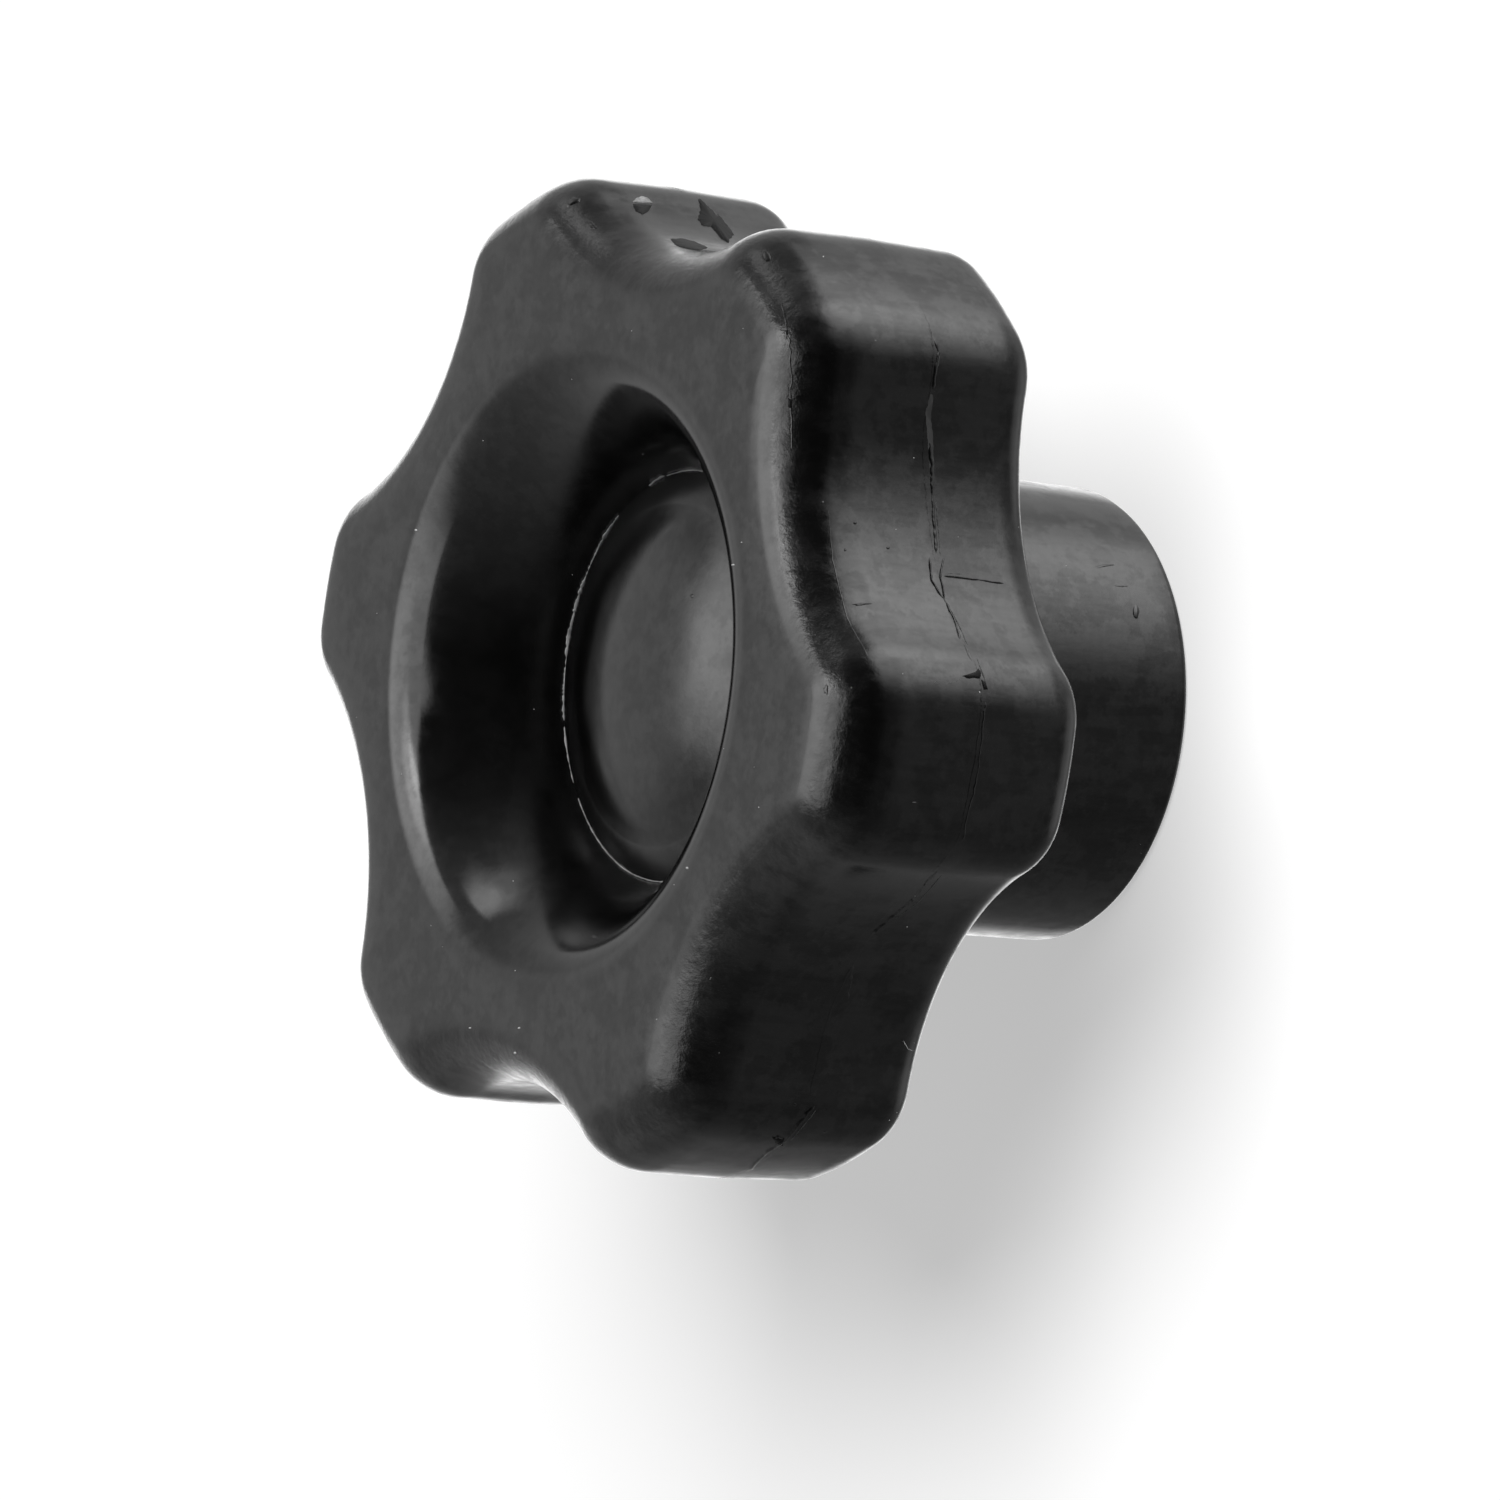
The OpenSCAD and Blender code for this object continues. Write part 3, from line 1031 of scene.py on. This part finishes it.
WALL_GLOW = Spot(178, 33, 20, 8, 0.22)
WALL_SHADE = Spot(30, 38, 60, 20, 0.3)
STRIP_GLOW = Spot(117, 28, 8, 3, 1.4)
SIDE_GLOW = Spot(77, -12, 10, 4, 0.9)
WHITE_SHEET = Spot(180, -30, 32, 14, 1.5)

# The long box light overhead. It is laid out in a level plane, along its azimuth and across it.

BOX_AZIMUTH = 160
LEAST_RISE = 0.1
BOX_LEVEL = (0.0, 0.35, 2.4, 2.8)
BRIGHT_SIDE = (0.03, -0.12, 0.0, 2.4)
BRIGHT_ENDS = ((0.05, 0.22), (0.64, 0.48))
BRIGHTEST_SIDE = (-0.15, -0.24, 0.0, 4.2)
BRIGHTEST_ENDS = ((0.12, 0.2), (0.36, 0.28))
BOX_SIDES = ((-0.43, -0.33), (0.6, 0.2))
BOX_NEAR_END = (-0.44, -0.33)
BOX_FAR_END = (1.2, 0.72)
BOX_SLANT = 0.35
BOX_LOWEST = (0.3, 0.5)

# The narrow light that stands at the far side

STRIP_SIDES = ((101, 108), (126, 119))
STRIP_FOOT = (12, 19)
STRIP_TOP = (39, 32, 0.0, 1.1)

# The wide light at the side. Its upper edge falls from one elevation to another over a range of azimuth.

SIDE_EDGE_RANGE = (77, 95)
SIDE_EDGE_FALL = (8, -6)
SIDE_EDGE_SOFT = (0, -6)
SIDE_SIDES = ((17, 68), (116, 80))
SIDE_FOOT = (-50, -30, 0.0, 2.9)

PLAIN_LEVEL = 1.0
DIFFUSE_LEVEL = 0.12

Sky = namedtuple("Sky", "graph x y z azimuth elevation")


def spot(sky, place, outside=0.0):
    closeness = sky.graph.toward(sky.x, sky.y, sky.z, place.azimuth, place.elevation)
    outer = math.cos(math.radians(place.outer))
    inner = math.cos(math.radians(place.inner))
    return sky.graph.ramp(closeness, outer, inner, outside, place.level)


def room(sky):
    """Walls, dark by the camera and paler behind the knob, and the table below."""
    graph = sky.graph
    upper = graph.plus(
        graph.ramp(sky.x, *UPPER_NEAR, "LINEAR"),
        graph.ramp(sky.x, *UPPER_FAR, "LINEAR"),
        spot(sky, WALL_GLOW),
    )
    upper = graph.times(upper, spot(sky, WALL_SHADE, outside=1.0))
    lower = graph.plus(graph.ramp(sky.x, *LOWER_NEAR, "LINEAR"), graph.ramp(sky.x, *LOWER_FAR, "LINEAR"))
    lower = graph.times(lower, graph.ramp(sky.y, *LOWER_SIDE))
    table = graph.plus(
        graph.ramp(sky.x, *TABLE_NEAR, "LINEAR"),
        graph.ramp(sky.y, *TABLE_SIDE),
        graph.arc(sky.elevation, *TABLE_BELOW),
    )
    walls = graph.mix(graph.arc(sky.elevation, *HORIZON), lower, upper)
    return graph.mix(graph.arc(sky.elevation, *TABLE_EDGE), walls, table)


def box_light(sky):
    """A long box light overhead, brighter along one side."""
    graph = sky.graph

    def laid_out(azimuth):
        level = graph.toward(sky.x, sky.y, sky.z, azimuth, 0)
        return graph.math("DIVIDE", level, graph.math("MAXIMUM", sky.z, LEAST_RISE))

    def between(value, ends):
        return [graph.ramp(value, *end) for end in ends]

    along = laid_out(BOX_AZIMUTH)
    across = laid_out(BOX_AZIMUTH + 90)
    level = graph.plus(
        graph.ramp(along, *BOX_LEVEL),
        graph.times(graph.ramp(across, *BRIGHT_SIDE), *between(along, BRIGHT_ENDS)),
        graph.times(graph.ramp(across, *BRIGHTEST_SIDE), *between(along, BRIGHTEST_ENDS)),
    )
    slant = graph.math("SUBTRACT", along, graph.times(across, BOX_SLANT))
    return graph.times(
        level,
        *between(across, BOX_SIDES),
        graph.ramp(along, *BOX_NEAR_END),
        graph.ramp(slant, *BOX_FAR_END),
        graph.ramp(sky.z, *BOX_LOWEST),
    )


def strip_light(sky):
    graph = sky.graph
    sides = [graph.arc(sky.azimuth, *side) for side in STRIP_SIDES]
    strip = graph.times(*sides, graph.arc(sky.elevation, *STRIP_FOOT), graph.arc(sky.elevation, *STRIP_TOP))
    return graph.plus(strip, spot(sky, STRIP_GLOW))


def side_light(sky):
    """A wide light at the side, from just above the horizon down."""
    graph = sky.graph
    start, stop = (math.radians(angle) for angle in SIDE_EDGE_RANGE)
    high, low = (math.radians(angle) for angle in SIDE_EDGE_FALL)
    edge = graph.ramp(sky.azimuth, start, stop, high, low, "LINEAR")
    sides = [graph.arc(sky.azimuth, *side) for side in SIDE_SIDES]
    light = graph.times(
        *sides,
        graph.arc(graph.math("SUBTRACT", sky.elevation, edge), *SIDE_EDGE_SOFT),
        graph.arc(sky.elevation, *SIDE_FOOT),
    )
    return graph.plus(light, spot(sky, SIDE_GLOW))


def studio(world):
    """White behind the knob. Gloss sees the studio, and its white sheet shows as a thin rim along edges."""
    world.use_nodes = True
    graph = Graph(world.node_tree)
    background = world.node_tree.nodes["Background"]
    turned = graph.add("ShaderNodeVectorRotate")
    turned.rotation_type = "Z_AXIS"
    turned.inputs["Angle"].default_value = -VIEW_AZIMUTH
    graph.link(graph.add("ShaderNodeTexCoord").outputs["Generated"], turned.inputs["Vector"])
    x, y, z = graph.split(turned.outputs["Vector"])
    sky = Sky(graph, x, y, z, graph.math("ARCTAN2", y, x), graph.math("ARCSINE", z))
    gloss = graph.plus(room(sky), box_light(sky), strip_light(sky), side_light(sky), spot(sky, WHITE_SHEET))
    path = graph.add("ShaderNodeLightPath")
    plain = graph.mix(path.outputs["Is Diffuse Ray"], PLAIN_LEVEL, DIFFUSE_LEVEL)
    graph.link(graph.mix(path.outputs["Is Glossy Ray"], plain, gloss), background.inputs["Strength"])
    background.inputs["Color"].default_value = (1, 1, 1, 1)
    world.cycles.sampling_method = "NONE"


# Floor and lamp. The floor's half width is in metres.

FLOOR_HALF = 3.0
FLOOR_COLOUR = (0.75, 0.75, 0.75, 1)
FLOOR_GLOW = 0.46
LAMP_ENERGY = 0.9 * math.pi
LAMP_SPREAD = math.radians(44)
LAMP_AZIMUTH = math.radians(60)
LAMP_ELEVATION = math.radians(50)


def white_floor():
    """A pale floor that goes white where it's lit, and keeps the knob's shadow."""
    mesh = bpy.data.meshes.new("floor")
    corners = [(x * FLOOR_HALF, y * FLOOR_HALF, 0) for x, y in ((-1, -1), (1, -1), (1, 1), (-1, 1))]
    mesh.from_pydata(corners, [], [(0, 1, 2, 3)])
    floor = bpy.data.objects.new("floor", mesh)
    bpy.context.scene.collection.objects.link(floor)
    material = bpy.data.materials.new("floor")
    material.use_nodes = True
    graph = Graph(material.node_tree)
    shader = material.node_tree.nodes["Principled BSDF"]
    shader.inputs["Base Color"].default_value = FLOOR_COLOUR
    shader.inputs["Specular IOR Level"].default_value = 0.0
    shader.inputs["Roughness"].default_value = 1.0
    shader.inputs["Emission Color"].default_value = (1, 1, 1, 1)
    path = graph.add("ShaderNodeLightPath")
    graph.link(graph.times(path.outputs["Is Camera Ray"], FLOOR_GLOW), shader.inputs["Emission Strength"])
    mesh.materials.append(material)
    floor.visible_glossy = False


def top_lamp():
    data = bpy.data.lights.new("top_lamp", "SUN")
    data.energy = LAMP_ENERGY
    data.angle = LAMP_SPREAD
    lamp = bpy.data.objects.new("top_lamp", data)
    bpy.context.scene.collection.objects.link(lamp)
    toward = direction(LAMP_AZIMUTH, LAMP_ELEVATION)
    lamp.rotation_euler = toward.to_track_quat("Z", "Y").to_euler()
    lamp.visible_glossy = False


world = bpy.data.worlds.new("world")
bpy.context.scene.world = world
studio(world)
white_floor()
top_lamp()

bpy.context.scene.view_settings.view_transform = "Standard"
